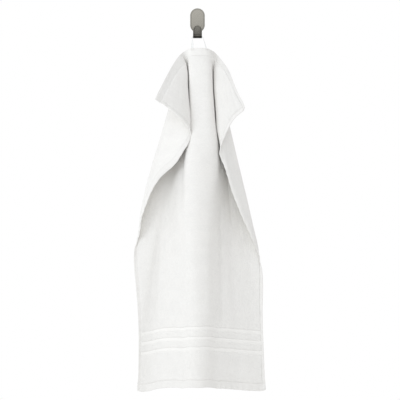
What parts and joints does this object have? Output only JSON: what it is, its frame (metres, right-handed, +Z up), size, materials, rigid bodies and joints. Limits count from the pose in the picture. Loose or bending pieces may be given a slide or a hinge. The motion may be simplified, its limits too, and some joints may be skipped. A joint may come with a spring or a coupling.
{
  "type": "hand towel on a wall hook",
  "caption": "White terry hand towel hanging by its sewn loop from a flat steel wall hook, its top corners folded forward and a ribbed border near the bottom.",
  "frame": {"origin": "middle of the hook's plate, on its back face, where the wall is", "axes": "+Z up, +Y into the wall, +X to the right for someone facing the towel"},
  "size_m": [0.3888, 0.1364, 1.1308],
  "materials": {
    "terry": "cotton terry, flat-woven ribs and hems",
    "tape": "woven cotton tape",
    "steel": "satin"
  },
  "bodies": {
    "root": {"towel": "terry", "hanging_loop": "tape", "wall_hook": "steel"}
  },
  "joints": []
}
